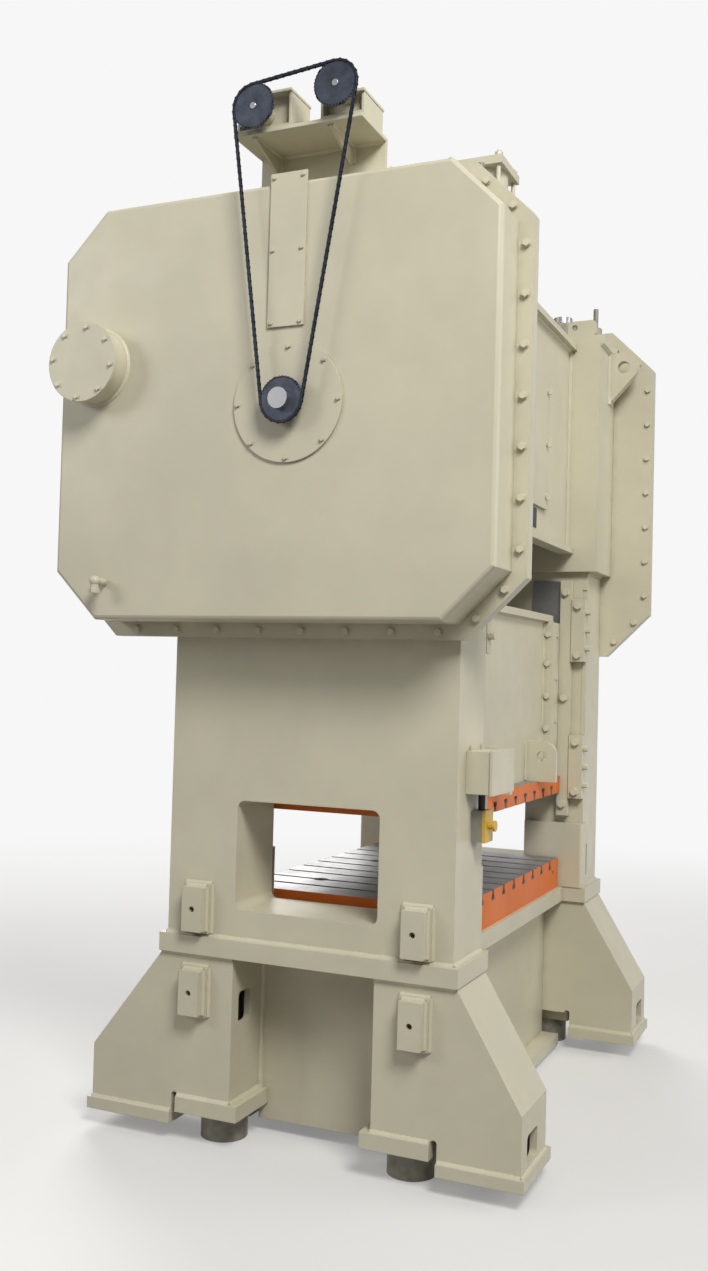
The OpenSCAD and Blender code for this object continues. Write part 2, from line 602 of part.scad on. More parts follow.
module sprocket(y, z, turn, hub_r, bore_r) translate([-x_sprocket, y, z]) difference() {
    union() {
        along_x(-3.6, 7.2) sprocket_outline(turn);
        rod_x(-3.6, 28, hub_r);
    }
    rod_x(-20, 60, bore_r);
}
module crank_sprocket() color(dark) sprocket(0, z_crank, sprocket_turn(2), 58, 38);
module main_bushes() color("#b08d57") for (s = [-1, 1]) on_side(s) difference() {
    rod_x(x_in - 38, upright_t + 38, journal_r + 25, 0, z_crank);
    rod_x(x_in - 39, upright_t + 40, journal_r + run_gap, 0, z_crank);
}

// Connecting rods: they turn on the eccentrics and reach down into the slide's pockets
screw_top = z_slide_top + 60;
ball_z = z_slide + slide_plate_t + 40 + stroke + 90;
module connecting_rod(s) color(steel) translate([s * x_rod, 0, 0]) difference() {
    union() {
        rod_x(-rod_w / 2, rod_w, big_end_r, 0, z_crank - throw);
        box([-62, -85, screw_top], [62, 85, z_crank - throw - big_end_r + 40]);
        rod_z(screw_top - 60, 120, 78);
    }
    rod_x(-rod_w / 2 - 1, rod_w + 2, eccentric_r + run_gap, 0, z_crank - throw);
    rod_z(screw_top - 61, 121, 50);
}
module adjusting_screw(s) color(steel) translate([s * x_rod, 0, 0]) {
    rod_z(ball_z, screw_top + 60 - ball_z, 50);
    translate([0, 0, ball_z]) sphere(68);
}

// Pinion shaft, flywheel and motor at the right end behind the crown
x_wheel = x_face + boss_len + 16 + 60;
module pinion_shaft() color(steel) translate([0, y_back, z_back]) {
    rod_x(-x_flange - gear_w - 60, x_wheel + flywheel_w + 20 + x_flange + gear_w + 60, pinion_shaft_r);
    for (s = [-1, 1]) on_side(s) along_x(x_gear, gear_w) polygon(tooth_ring(pinion_n, 180 + mesh_angle + 180 / pinion_n));
}
module flywheel() color(dark) translate([x_wheel, y_back, z_back]) difference() {
    rotate([0, 90, 0]) rotate_extrude() polygon([[pinion_shaft_r + run_gap, -30], [130, -30], [130, 45],
        [flywheel_r - 90, 45], [flywheel_r - 90, 0], [flywheel_r, 0],
        for (i = [0:4]) each [[flywheel_r, 20 + i * 24], [flywheel_r - 12, 25 + i * 24],
            [flywheel_r - 12, 32 + i * 24], [flywheel_r, 37 + i * 24]],
        [flywheel_r, flywheel_w], [flywheel_r - 90, flywheel_w], [flywheel_r - 90, 95], [130, 95],
        [130, flywheel_w + 10], [pinion_shaft_r + run_gap, flywheel_w + 10]]);
    for (i = [0:4]) rod_x(40, 60, 60, 280 * cos(i * 72), 280 * sin(i * 72));
}
y_motor = 90;
motor_rise = 330;
z_motor = z_cap + motor_rise;
motor_r = 175;
motor_len = 400;
x_motor = x_out - 20 - motor_len;     // far end of the motor
pulley_r = 105;
motor_shaft_r = 28;
module drive_motor() color(cream) translate([0, y_motor, 0]) {
    difference() {
        union() {
            rod_x(x_motor, motor_len, motor_r, 0, z_motor);
            rod_x(x_motor - 46, 48, motor_r - 12, 0, z_motor);
            rod_x(x_motor + motor_len - 1, 16, 90, 0, z_motor);
            for (i = [0:23]) translate([x_motor + 40, 0, z_motor]) rotate([i * 15, 0, 0])
                translate([0, -4, motor_r - 5]) cube([motor_len - 80, 8, 22]);
            box([x_in - 20, -190, z_cap], [x_out - 30, 190, z_motor - 150]);
        }
        box([x_in - 30, -110, z_cap + 24], [x_out - 20, 110, z_motor - 190]);
        rod_x(x_motor + 200, motor_len, motor_shaft_r + run_gap, 0, z_motor);
    }
    box([x_motor + 110, -100, z_motor + motor_r - 10], [x_motor + 290, 100, z_motor + motor_r + 75]);
}
module motor_pulley() color(dark) translate([x_wheel, y_motor, z_motor]) {
    rod_x(x_motor + 210 - x_wheel, x_wheel - x_motor - 210 + 139, motor_shaft_r);
    rotate([0, 90, 0]) rotate_extrude() polygon([[0, 0], [pulley_r, 0],
        for (i = [0:4]) each [[pulley_r, 20 + i * 24], [pulley_r - 12, 25 + i * 24],
            [pulley_r - 12, 32 + i * 24], [pulley_r, 37 + i * 24]],
        [pulley_r, 140], [0, 140]]);
}
// Flat band round the two pulleys' outer faces, as a loop of even thickness
function belt_loop(w) = let (d = [y_back - y_motor, z_back - z_motor], l = norm(d), a = atan2(d[1], d[0]),
    lean = acos((pulley_r - flywheel_r) / l))
    [for (i = [0:24]) let (t = a + lean + i * (360 - 2 * lean) / 24) [y_motor + (pulley_r + w) * cos(t), z_motor + (pulley_r + w) * sin(t)],
     for (i = [0:40]) let (t = a - lean + i * 2 * lean / 40) [y_back + (flywheel_r + w) * cos(t), z_back + (flywheel_r + w) * sin(t)]];
module drive_belts() color(dark) for (i = [0:4]) along_x(x_wheel + 23 + i * 24, 11) difference() {
    polygon(belt_loop(4));
    polygon(belt_loop(-6.4));
}

// Bracket over the left gear cover with two cam switch boxes, their sprockets and the chain
function cam_at(i) = i == 0 ? [rear_cam_y, z_crank + rear_cam_rise]
    : i == 1 ? [-front_cam_y, z_crank + front_cam_rise] : [0, z_crank];
function arc_unit(i) = let (d = cam_at((i + 1) % 3) - cam_at(i)) d / norm(d);
function out_angle(i) = let (d = arc_unit(i)) atan2(-d[0], d[1]);
function span(i) = norm(cam_at((i + 1) % 3) - cam_at(i));
function turn_at(i) = (out_angle(i) - out_angle((i + 2) % 3) + 720) % 360;
function arc_len(i) = chain_r * turn_at(i) * PI / 180;
function lap(i) = i <= 0 ? 0 : lap(i - 1) + arc_len(i - 1) + span(i - 1);
chain_length = arc_len(0) + arc_len(1) + arc_len(2) + span(0) + span(1) + span(2);
link_n = 2 * round(chain_length / chain_pitch / 2);
link = chain_length / link_n;
function chain_point(s) = let (i = s < lap(1) ? 0 : s < lap(2) ? 1 : 2, t = s - lap(i))
    t < arc_len(i)
        ? let (a = out_angle((i + 2) % 3) + t / chain_r * 180 / PI) cam_at(i) + chain_r * [cos(a), sin(a)]
        : cam_at(i) + chain_r * [cos(out_angle(i)), sin(out_angle(i))] + arc_unit(i) * (t - arc_len(i));
// Angle of the first roller that lies on a sprocket, so that its gaps meet the chain
function sprocket_turn(i) = out_angle((i + 2) % 3) + (ceil(lap(i) / link) * link - lap(i)) / chain_r * 180 / PI;
plate_r = 6;
pin_r = 2;
link_plate_t = 1.5;
module link_plate(l, r, hole) difference() {
    union() {
        circle(r);
        translate([l, 0]) circle(r);
        translate([0, -r * 0.75]) square([l, r * 1.5]);
    }
    if (hole > 0) for (x = [0, l]) translate([x, 0]) circle(hole);
}
module drive_chain() color(dark) for (k = [0:link_n - 1]) {
    a = chain_point(k * link);
    b = chain_point((k + 1) % link_n * link);
    l = norm(b - a);
    translate([-x_sprocket, a[0], a[1]]) rotate([atan2(b[1] - a[1], b[0] - a[0]), 0, 0])
    if (k % 2 == 0) {
        for (x = [-5.5, 4]) along_x(x, link_plate_t) link_plate(l, plate_r, pin_r + 0.1);
        for (y = [0, l]) difference() { rod_x(-4, 8, roller_r, y); rod_x(-5, 10, pin_r + 0.1, y); }
    } else {
        for (x = [-7.1, 5.6]) along_x(x, link_plate_t) link_plate(l, plate_r - 0.5, 0);
        for (y = [0, l]) rod_x(-7, 14, pin_r, y);
    }
}
z_deck = z_crank + 1006;
deck_t = 14;
deck_x0 = x_face + 16;
deck_x1 = x_flange - deck_t;
z_case = z_crank + cover_up + flange_w;     // top edge of a gear case's back
z_foot = max(z_case, z_cap);
x_foot = deck_x1 - 190;
deck_front = -268;
deck_rear = 246;
module cam_platform() color(cream) {
    box([-deck_x0, deck_front, z_deck - deck_t], [-deck_x1, deck_rear, z_deck]);
    // back plate on the gear case, sloping brackets before it and braces down to the crown behind
    box([-x_flange, deck_front, z_case], [-deck_x1, deck_rear, z_deck - 1]);
    for (y = [-142, 163]) {
        along_y(y, 12) polygon([[-deck_x0 + 20, z_deck - deck_t + 1], [-deck_x0 + 20, z_deck - deck_t - 6],
            [-x_flange - 24, z_deck - 82], [-x_flange + 1, z_deck - 82], [-x_flange + 1, z_deck - deck_t + 1]]);
        along_y(y, 12) polygon([[-deck_x1 - 1, z_foot + 1], [-deck_x1 - 1, z_deck - deck_t], [-deck_x1 + 50, z_deck - deck_t],
            [-x_foot, z_cap + 40], [-x_foot, z_cap], [-x_out + 4, z_cap], [-x_out + 4, z_foot + 1]]);
    }
    box([-x_out + 6, deck_front + 60, z_cap], [-x_foot + 30, deck_rear - 40, z_cap + deck_t]);
}
// Cam switch box on the deck, with a bearing through it for its shaft
cam_shaft_r = 12;
box_wall = 10;
module cam_box(i, front, rear, rise, depth) color(cream) {
    c = cam_at(i);
    x0 = -deck_x0 + 24;
    y0 = c[0] - front;
    y1 = c[0] + rear;
    foot_y = i == 0 ? y0 - 16 : y1 - 1;
    difference() {
        union() {
            box([x0, y0, z_deck], [x0 + depth, y1, c[1] + rise]);
            box([x0 - 8, y0 - 2, c[1] + rise - box_wall], [x0 + depth + 6, y1 + 2, c[1] + rise]);
            box([x0 + 20, foot_y, z_deck], [x0 + depth, foot_y + 17, z_deck + box_wall]);
            rod_x(x0 - 14, depth + 14, 40, c[0], c[1]);
        }
        // recessed front and rear faces
        for (x = [x0 - 1, x0 + depth - 30]) difference() {
            box([x, y0 + box_wall, z_deck + 20], [x + 31, y1 - box_wall, c[1] + rise - box_wall]);
            rod_x(x - 1, 33, 40, c[0], c[1]);
        }
        rod_x(x0 - 15, depth + 20, cam_shaft_r + run_gap, c[0], c[1]);
    }
    // screws of the box's foot
    for (k = [0.3, 0.8]) rod_z(z_deck + box_wall - 1, 7, 6, x0 + depth * k, foot_y + 8);
}
module cam_sprocket(i) color(dark) {
    c = cam_at(i);
    sprocket(c[0], c[1], sprocket_turn(i), 30, cam_shaft_r);
    rod_x(-x_sprocket - 8, x_sprocket + 8 - deck_x0 + 24 + 140, cam_shaft_r, c[0], c[1]);
}

// Air cylinders that balance the slide's weight
y_balance = 257;
balance_r = 118;
balance_rod_r = 28;
head_t = 38;
balance_h = 627;
z_balance = z_crown + balance_h;
module balance_cylinder(f) color(cream) translate([0, f * y_balance, 0]) {
    difference() {
        union() {
            box([-135, -135, z_crown], [135, 135, z_crown + 26]);
            rod_z(z_crown + 25, balance_h - head_t - 24, balance_r);
            box([-134, -134, z_balance - head_t], [134, 134, z_balance]);
        }
        rod_z(z_crown - 1, 60, balance_rod_r + run_gap);
        rod_z(z_crown + 26, balance_h - head_t - 36, balance_r - 12);
    }
    for (x = [-112, 112], y = [-112, 112]) {
        rod_z(z_crown + 26, balance_h, 10, x, y);
        translate([x, y, z_balance]) cylinder(h = 18, r = 18, $fn = 6);
    }
}
module balance_rod(f) color(steel) translate([0, f * y_balance, 0]) {
    rod_z(z_slide_top, z_crown + 60 - z_slide_top, balance_rod_r);
    rod_z(z_slide_top, 24, 62);
    rod_z(z_crown + 56, 60, balance_r - 12 - run_gap);
}

// Control box, button station and their cable on the left upright's front face
box_x = -x_out + 92;
box_rise = 460;
box_z = z_top + box_rise;
module control_box() color(cream) {
    difference() {
        box([box_x, -y_up - 96, box_z], [box_x + 266, -y_up, box_z + 154]);
        // clear of the gib's adjusting screws
        box([-x_in - 4, -y_up - 44, box_z - 1], [box_x + 267, -y_up + 1, box_z + 155]);
    }
    box([box_x - 5, -y_up - 100, box_z - 4], [box_x + 271, -y_up - 90, box_z + 158]);
    for (x = [30, 160]) box([box_x + x, -y_up - 8, box_z + 153], [box_x + x + 24, -y_up, box_z + 172]);
}
station_x = box_x + 74;
station_drop = 180;
station_z = box_z - station_drop;
module button_station() color("#8f8f84") {
    box([station_x, -y_up - 42, station_z], [station_x + 90, -y_up, station_z + 113]);
    color("#d8a93a") difference() {
        box([station_x - 2, -y_up - 54, station_z - 2], [station_x + 92, -y_up - 42, station_z + 115]);
        rod_y(-y_up - 55, 13, 13 + fit, station_x + 45, station_z + 58);
    }
}
module stop_button() color("#d8a93a") {
    rod_y(-y_up - 72, 23, 13, station_x + 45, station_z + 58);
    rod_y(-y_up - 80, 9, 20, station_x + 45, station_z + 58);
}
cable_r = 13;
module control_cable() color(dark)
    rod_z(station_z + 113, box_z - station_z - 113, cable_r, station_x + 45, -y_up - 24);

place() bed();
place() upright(-1);  // left_upright
place() upright(1);  // right_upright
place() crown();
place() tie_rods();
place() tie_rod_nuts();
place() bolster();
place() slide();
place() slide_plate();
place() slide_bolts();
place() side_liners();
place() gib_rails();
place() gib_blocks();
place() gib_bolts();
place() gear_case_back(-1);  // left_gear_case_back
place() gear_case_back(1);  // right_gear_case_back
place() gear_cover(-1);  // left_gear_cover
place() gear_cover(1);  // right_gear_cover
place() { cover_bolts(-1); back_bolts(-1); }  // left_cover_bolts
place() { cover_bolts(1); back_bolts(1); }  // right_cover_bolts
place() shaft_cap(-1);  // left_shaft_cap
place() shaft_cap(1);  // right_shaft_cap
place() cap_bolts();
place() crank_seal_plate();
place() slot_cover();
place() crown_door();
place() door_hinges();
place() door_latches();
place() blank_plate();
place() crankshaft();
place() bull_gear(-1);  // left_bull_gear
place() bull_gear(1);  // right_bull_gear
place() crank_sprocket();
place() main_bushes();
place() connecting_rod(-1);  // left_connecting_rod
place() connecting_rod(1);  // right_connecting_rod
place() adjusting_screw(-1);  // left_adjusting_screw
place() adjusting_screw(1);  // right_adjusting_screw
place() pinion_shaft();
place() flywheel();
place() drive_motor();
place() motor_pulley();
place() drive_belts();
place() cam_platform();
place() cam_box(0, 122, 98, 73, 150);  // rear_cam_box
place() cam_box(1, 84, 85, -5, 170);  // front_cam_box
place() cam_sprocket(0);  // rear_cam_sprocket
place() cam_sprocket(1);  // front_cam_sprocket
place() drive_chain();
place() balance_cylinder(-1);  // front_balance_cylinder
place() balance_cylinder(1);  // rear_balance_cylinder
place() balance_rod(-1);  // front_balance_rod
place() balance_rod(1);  // rear_balance_rod
place() control_box();
place() button_station();
place() stop_button();
place() control_cable();
place() drain_elbow();
place() corner_guards();
place() key_blocks();
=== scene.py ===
"""Looks of a straight-side mechanical stamping press: paint, bare steel, weld beads and chain sprockets.

X runs from the left gear case to the right one, Y from front to back and Z up.
The origin is the centre of the bolster's top face, and lengths are in metres.
"""
import json
import math

import bmesh
import bpy
from mathutils import Matrix, Vector


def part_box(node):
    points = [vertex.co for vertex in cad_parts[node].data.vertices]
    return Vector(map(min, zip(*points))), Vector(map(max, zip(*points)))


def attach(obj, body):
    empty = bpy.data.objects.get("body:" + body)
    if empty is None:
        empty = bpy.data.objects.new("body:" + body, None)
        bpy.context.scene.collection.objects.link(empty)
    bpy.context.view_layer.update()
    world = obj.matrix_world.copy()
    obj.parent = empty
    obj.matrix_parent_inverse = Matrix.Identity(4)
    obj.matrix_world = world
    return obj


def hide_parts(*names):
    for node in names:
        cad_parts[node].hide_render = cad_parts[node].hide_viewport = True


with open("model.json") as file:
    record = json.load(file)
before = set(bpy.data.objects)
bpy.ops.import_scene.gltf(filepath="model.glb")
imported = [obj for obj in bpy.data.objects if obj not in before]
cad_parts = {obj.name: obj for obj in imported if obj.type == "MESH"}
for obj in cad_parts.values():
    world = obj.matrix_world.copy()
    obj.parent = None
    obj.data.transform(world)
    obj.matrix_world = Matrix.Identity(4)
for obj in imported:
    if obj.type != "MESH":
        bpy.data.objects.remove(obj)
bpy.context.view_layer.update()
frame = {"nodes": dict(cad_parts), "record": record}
nodes = frame["nodes"]

# Colours, as linear values
CREAM = (0.600, 0.565, 0.430)
# Grime, and the colour of the painted shade in the enamel's corners
GRIME_AND_SHADE = (0.24, 0.21, 0.13)
ORANGE = (0.73, 0.172, 0.026)
BLACK_STEEL = (0.022, 0.026, 0.036)
SLATE_STEEL = (0.060, 0.068, 0.092)
BARE_STEEL = (0.50, 0.50, 0.52)
# Cream paint of the tie rods' feet and nuts, darkened to its tone in shade: painted shade
FOOT_PAINT_IN_SHADE = (0.24, 0.225, 0.18)
BOLSTER_STEEL = (0.43, 0.42, 0.425)
BRONZE = (0.50, 0.31, 0.12)
CAST_IRON = (0.075, 0.078, 0.085)
RUBBER = (0.018, 0.018, 0.020)
YELLOW = (0.66, 0.42, 0.04)
STATION_GREY = (0.27, 0.26, 0.22)
FLOOR = (0.78, 0.77, 0.755)
FLOOR_BOUNCE = (0.30, 0.29, 0.275)
BACKDROP = 0.93
WORLD_LIGHT = (0.14, 0.142, 0.147)
WARM_WHITE = (1.0, 0.99, 0.965)
SOFT_WHITE = (1.0, 0.99, 0.97)
DAY_WHITE = (1.0, 0.995, 0.98)
PURE_WHITE = (1.0, 1.0, 1.0)

# Depth of the painted rims, from a piece's outer faces
PLATE_RIM = 0.0015
STATION_RIM = 0.0125

# Half the floor's side, and how far from the origin it fades to the backdrop's white
FLOOR_REACH = 60.0
FADE_START, FADE_END = 2.5, 9.0

# Lamps: place, target, width and height, power in watts, colour
LAMPS = {
    "front_key": ((-5.6, -4.4, 6.9), (-0.8, -0.3, 1.0), (3.0, 3.0), 680.0, WARM_WHITE),
    "front_fill": ((2.5, -8.5, 3.6), (0, -0.5, 1.0), (4.0, 3.0), 230.0, SOFT_WHITE),
    "right_rear_light": ((6.5, 5.0, 5.2), (0.6, 0.2, 1.2), (5.0, 5.0), 480.0, DAY_WHITE),
    "left_rear_light": ((-7.0, 6.5, 4.5), (-0.4, 0.4, 1.2), (3.0, 3.0), 170.0, PURE_WHITE),
}

# How much of the backdrop's white shows in reflections
GLOSSY_SHARE = 0.5

# Camera of the photograph: angles in degrees, lens and sensor in millimetres
CAMERA_AT = Vector((-5.2228, -1.9978, 0.8761))
CAMERA_YAW = 23.93
CAMERA_PITCH = 1.87
CAMERA_ROLL = -1.54
CAMERA_LENS = 34.58
CAMERA_SENSOR = 36.0


# Node helpers

def scaled(colour, factor):
    return tuple(c * factor for c in colour)


def new_material(name):
    material = bpy.data.materials.new(name)
    material.use_nodes = True
    tree = material.node_tree
    return material, tree, tree.nodes["Principled BSDF"]


def add_node(tree, kind, **values):
    node = tree.nodes.new(kind)
    for key, value in values.items():
        setattr(node, key, value)
    return node


def object_point(tree, stretch=(1.0, 1.0, 1.0)):
    """A point in the frame, in metres, stretched along each axis."""
    place = add_node(tree, "ShaderNodeTexCoord")
    mapping = add_node(tree, "ShaderNodeMapping")
    mapping.inputs["Scale"].default_value = stretch
    tree.links.new(place.outputs["Object"], mapping.inputs["Vector"])
    return mapping.outputs["Vector"]


def noise(tree, scale, detail=3.0, stretch=(1.0, 1.0, 1.0), rough=0.5):
    """Noise from 0 to 1 by place in the frame."""
    node = add_node(tree, "ShaderNodeTexNoise")
    node.inputs["Scale"].default_value = scale
    node.inputs["Detail"].default_value = detail
    node.inputs["Roughness"].default_value = rough
    tree.links.new(object_point(tree, stretch), node.inputs["Vector"])
    return node.outputs["Fac"]


def ramp(tree, value, low, high, low_colour, high_colour):
    """Blends two colours as value goes from low to high."""
    node = add_node(tree, "ShaderNodeValToRGB")
    node.color_ramp.elements[0].position = low
    node.color_ramp.elements[1].position = high
    node.color_ramp.elements[0].color = (*low_colour, 1.0)
    node.color_ramp.elements[1].color = (*high_colour, 1.0)
    tree.links.new(value, node.inputs["Fac"])
    return node.outputs["Color"]


def grey_ramp(tree, value, low, high, low_grey, high_grey):
    return ramp(tree, value, low, high, (low_grey,) * 3, (high_grey,) * 3)


def mix(tree, factor, first, second, blend="MIX"):
    """Mixes two colours or sockets. factor is a socket or a number."""
    node = add_node(tree, "ShaderNodeMix", data_type="RGBA", blend_type=blend)
    for socket, value in ((node.inputs[0], factor), (node.inputs[6], first), (node.inputs[7], second)):
        if isinstance(value, bpy.types.NodeSocket):
            tree.links.new(value, socket)
        elif isinstance(value, tuple):
            socket.default_value = (*value, 1.0)
        else:
            socket.default_value = value
    return node.outputs[2]


def math_node(tree, operation, first, second=0.0):
    node = add_node(tree, "ShaderNodeMath", operation=operation)
    for socket, value in zip(node.inputs, (first, second)):
        if isinstance(value, bpy.types.NodeSocket):
            tree.links.new(value, socket)
        else:
            socket.default_value = value
    return node.outputs[0]


def bump(tree, height, strength, distance, normal=None):
    node = add_node(tree, "ShaderNodeBump")
    node.inputs["Strength"].default_value = strength
    node.inputs["Distance"].default_value = distance
    tree.links.new(height, node.inputs["Height"])
    if normal is not None:
        tree.links.new(normal, node.inputs["Normal"])
    return node.outputs["Normal"]


def soft_edges(tree, radius):
    """A normal that rounds sharp edges."""
    node = add_node(tree, "ShaderNodeBevel", samples=4)
    node.inputs["Radius"].default_value = radius
    return node.outputs["Normal"]


def crevice(tree, distance):
    """1 in the open and towards 0 in corners."""
    node = add_node(tree, "ShaderNodeAmbientOcclusion", samples=6)
    node.inputs["Distance"].default_value = distance
    return node.outputs["AO"]


# Materials

def paint(name, colour, rough=0.40, edge=0.004):
    """Brushed and rolled machine enamel: faint waves, orange peel, cloudy tone, and grime in blotches with
    painted shade darkening its corners.
    """
    material, tree, shader = new_material(name)
    clouds = noise(tree, 1.7, 4.0, rough=0.62)
    streaks = noise(tree, 5.0, 3.0, stretch=(1.0, 1.0, 0.12))
    base = ramp(tree, clouds, 0.35, 0.68, scaled(colour, 0.93), scaled(colour, 1.045))
    base = mix(tree, grey_ramp(tree, streaks, 0.55, 0.80, 0.0, 0.16), base, scaled(colour, 0.86))
    # Painted shade: corners found by ambient occlusion darken towards the grime colour, broken up in
    # blotches
    corner = grey_ramp(tree, crevice(tree, 0.05), 0.25, 0.85, 0.55, 0.0)
    blotch = grey_ramp(tree, noise(tree, 14.0, 4.0), 0.35, 0.7, 0.35, 1.0)
    base = mix(tree, mix(tree, 1.0, corner, blotch, "MULTIPLY"), base, GRIME_AND_SHADE)
    tree.links.new(base, shader.inputs["Base Color"])
    rough_map = grey_ramp(tree, noise(tree, 9.0, 3.0), 0.3, 0.7, rough - 0.05, rough + 0.10)
    tree.links.new(rough_map, shader.inputs["Roughness"])
    shader.inputs["Specular IOR Level"].default_value = 0.36
    shader.inputs["Coat Weight"].default_value = 0.14
    shader.inputs["Coat Roughness"].default_value = 0.34
    waves = bump(tree, noise(tree, 16.0, 2.0), 0.16, 0.003, soft_edges(tree, edge))
    peel = bump(tree, noise(tree, 240.0, 2.0), 0.10, 0.0006, waves)
    tree.links.new(peel, shader.inputs["Normal"])
    return material


def metal(name, colour, rough=0.32):
    """Machined metal with a fine grain and dull stains."""
    material, tree, shader = new_material(name)
    grain = noise(tree, 160.0, 3.0)
    cloud = noise(tree, 6.0, 5.0, rough=0.65)
    base = ramp(tree, cloud, 0.34, 0.72, scaled(colour, 0.75), colour)
    base = mix(tree, grey_ramp(tree, grain, 0.3, 0.7, 0.0, 0.25), base, scaled(colour, 0.75))
    tree.links.new(base, shader.inputs["Base Color"])
    shader.inputs["Metallic"].default_value = 1.0
    tree.links.new(grey_ramp(tree, cloud, 0.3, 0.7, rough + 0.12, rough - 0.04), shader.inputs["Roughness"])
    cut = bump(tree, grain, 0.12, 0.0008, soft_edges(tree, 0.0012))
    tree.links.new(cut, shader.inputs["Normal"])
    return material


def cast(name, colour, rough=0.5, metallic=0.55):
    """Dark oiled iron with a grainy skin."""
    material, tree, shader = new_material(name)
    grain = noise(tree, 300.0, 4.0)
    patches = noise(tree, 20.0, 4.0)
    base = ramp(tree, patches, 0.3, 0.75, scaled(colour, 0.7), scaled(colour, 1.5))
    tree.links.new(base, shader.inputs["Base Color"])
    shader.inputs["Metallic"].default_value = metallic
    tree.links.new(grey_ramp(tree, grain, 0.3, 0.7, rough - 0.1, rough + 0.12), shader.inputs["Roughness"])
    tree.links.new(bump(tree, grain, 0.25, 0.001, soft_edges(tree, 0.0015)), shader.inputs["Normal"])
    return material


def plastic(name, colour, rough):
    """Moulded or sprayed skin with a fine pebble."""
    material, tree, shader = new_material(name)
    shade = noise(tree, 30.0, 3.0)
    base = ramp(tree, shade, 0.3, 0.75, scaled(colour, 0.85), colour)
    tree.links.new(base, shader.inputs["Base Color"])
    tree.links.new(grey_ramp(tree, shade, 0.3, 0.7, rough, rough + 0.12), shader.inputs["Roughness"])
    tree.links.new(bump(tree, noise(tree, 700.0), 0.08, 0.0004), shader.inputs["Normal"])
    return material


def outer_mask(tree, half_x, half_y):
    """1 on a plate's outer edges and 0 between them, from the place in the frame."""
    split = add_node(tree, "ShaderNodeSeparateXYZ")
    tree.links.new(object_point(tree), split.inputs[0])
    past_x = math_node(tree, "GREATER_THAN", math_node(tree, "ABSOLUTE", split.outputs["X"]), half_x)
    past_y = math_node(tree, "GREATER_THAN", math_node(tree, "ABSOLUTE", split.outputs["Y"]), half_y)
    return math_node(tree, "MAXIMUM", past_x, past_y)


def slotted_plate(name, node):
    """Ground steel inside and orange enamel on the outer edges."""
    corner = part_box(node)[1]
    material, tree, shader = new_material(name)
    edge = outer_mask(tree, corner.x - PLATE_RIM, corner.y - PLATE_RIM)
    lines = noise(tree, 220.0, 3.0, stretch=(0.05, 1.0, 1.0))
    cloud = noise(tree, 5.0, 6.0, rough=0.68)
    ground = ramp(tree, cloud, 0.32, 0.70, scaled(BOLSTER_STEEL, 0.62), BOLSTER_STEEL)
    ground = mix(tree, grey_ramp(tree, lines, 0.35, 0.7, 0.0, 0.35), ground, scaled(BOLSTER_STEEL, 1.25))
    wear = noise(tree, 26.0, 5.0, rough=0.7)
    enamel = ramp(tree, noise(tree, 4.0, 3.0), 0.3, 0.7, scaled(ORANGE, 0.88), ORANGE)
    enamel = mix(tree, grey_ramp(tree, wear, 0.66, 0.74, 0.0, 0.5), enamel, scaled(ORANGE, 0.5))
    tree.links.new(mix(tree, edge, ground, enamel), shader.inputs["Base Color"])
    inside = math_node(tree, "SUBTRACT", 1.0, edge)
    tree.links.new(math_node(tree, "MULTIPLY", inside, 0.85), shader.inputs["Metallic"])
    tree.links.new(grey_ramp(tree, cloud, 0.3, 0.7, 0.54, 0.40), shader.inputs["Roughness"])
    shader.inputs["Specular IOR Level"].default_value = 0.3
    tree.links.new(bump(tree, lines, 0.10, 0.0008, soft_edges(tree, 0.002)), shader.inputs["Normal"])
    return material


def station_finish(name, node):
    """Grey box whose front, with its rim, is yellow."""
    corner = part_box(node)[0]
    material, tree, shader = new_material(name)
    split = add_node(tree, "ShaderNodeSeparateXYZ")
    tree.links.new(object_point(tree), split.inputs[0])
    front = math_node(tree, "LESS_THAN", split.outputs["Y"], corner.y + STATION_RIM)
    shade = noise(tree, 30.0, 3.0)
    grey = ramp(tree, shade, 0.3, 0.75, scaled(STATION_GREY, 0.85), STATION_GREY)
    yellow = ramp(tree, shade, 0.3, 0.75, scaled(YELLOW, 0.85), YELLOW)
    tree.links.new(mix(tree, front, grey, yellow), shader.inputs["Base Color"])
    shader.inputs["Roughness"].default_value = 0.38
    tree.links.new(bump(tree, noise(tree, 700.0), 0.08, 0.0004), shader.inputs["Normal"])
    return material


def stage_material(name, colour):
    """Pale floor that takes shadows near the press and fades to the backdrop's white far from it."""
    material, tree, shader = new_material(name)
    rays = add_node(tree, "ShaderNodeLightPath")
    seen = math_node(tree, "MAXIMUM", rays.outputs["Is Camera Ray"], rays.outputs["Is Glossy Ray"])
    pale = ramp(tree, noise(tree, 0.8, 4.0), 0.3, 0.7, scaled(colour, 0.97), colour)
    tree.links.new(mix(tree, seen, FLOOR_BOUNCE, pale), shader.inputs["Base Color"])
    shader.inputs["Roughness"].default_value = 0.6
    length = add_node(tree, "ShaderNodeVectorMath", operation="LENGTH")
    tree.links.new(object_point(tree), length.inputs[0])
    far = add_node(tree, "ShaderNodeMapRange", interpolation_type="SMOOTHSTEP")
    far.inputs["From Min"].default_value = FADE_START
    far.inputs["From Max"].default_value = FADE_END
    far.inputs["To Min"].default_value = 0.25
    tree.links.new(length.outputs["Value"], far.inputs["Value"])
    white = add_node(tree, "ShaderNodeEmission")
    white.inputs["Color"].default_value = (BACKDROP, BACKDROP, BACKDROP, 1.0)
    blend = add_node(tree, "ShaderNodeMixShader")
    tree.links.new(math_node(tree, "MULTIPLY", far.outputs["Result"], seen), blend.inputs["Fac"])
    tree.links.new(shader.outputs["BSDF"], blend.inputs[1])
    tree.links.new(white.outputs["Emission"], blend.inputs[2])
    tree.links.new(blend.outputs["Shader"], tree.nodes["Material Output"].inputs["Surface"])
    return material


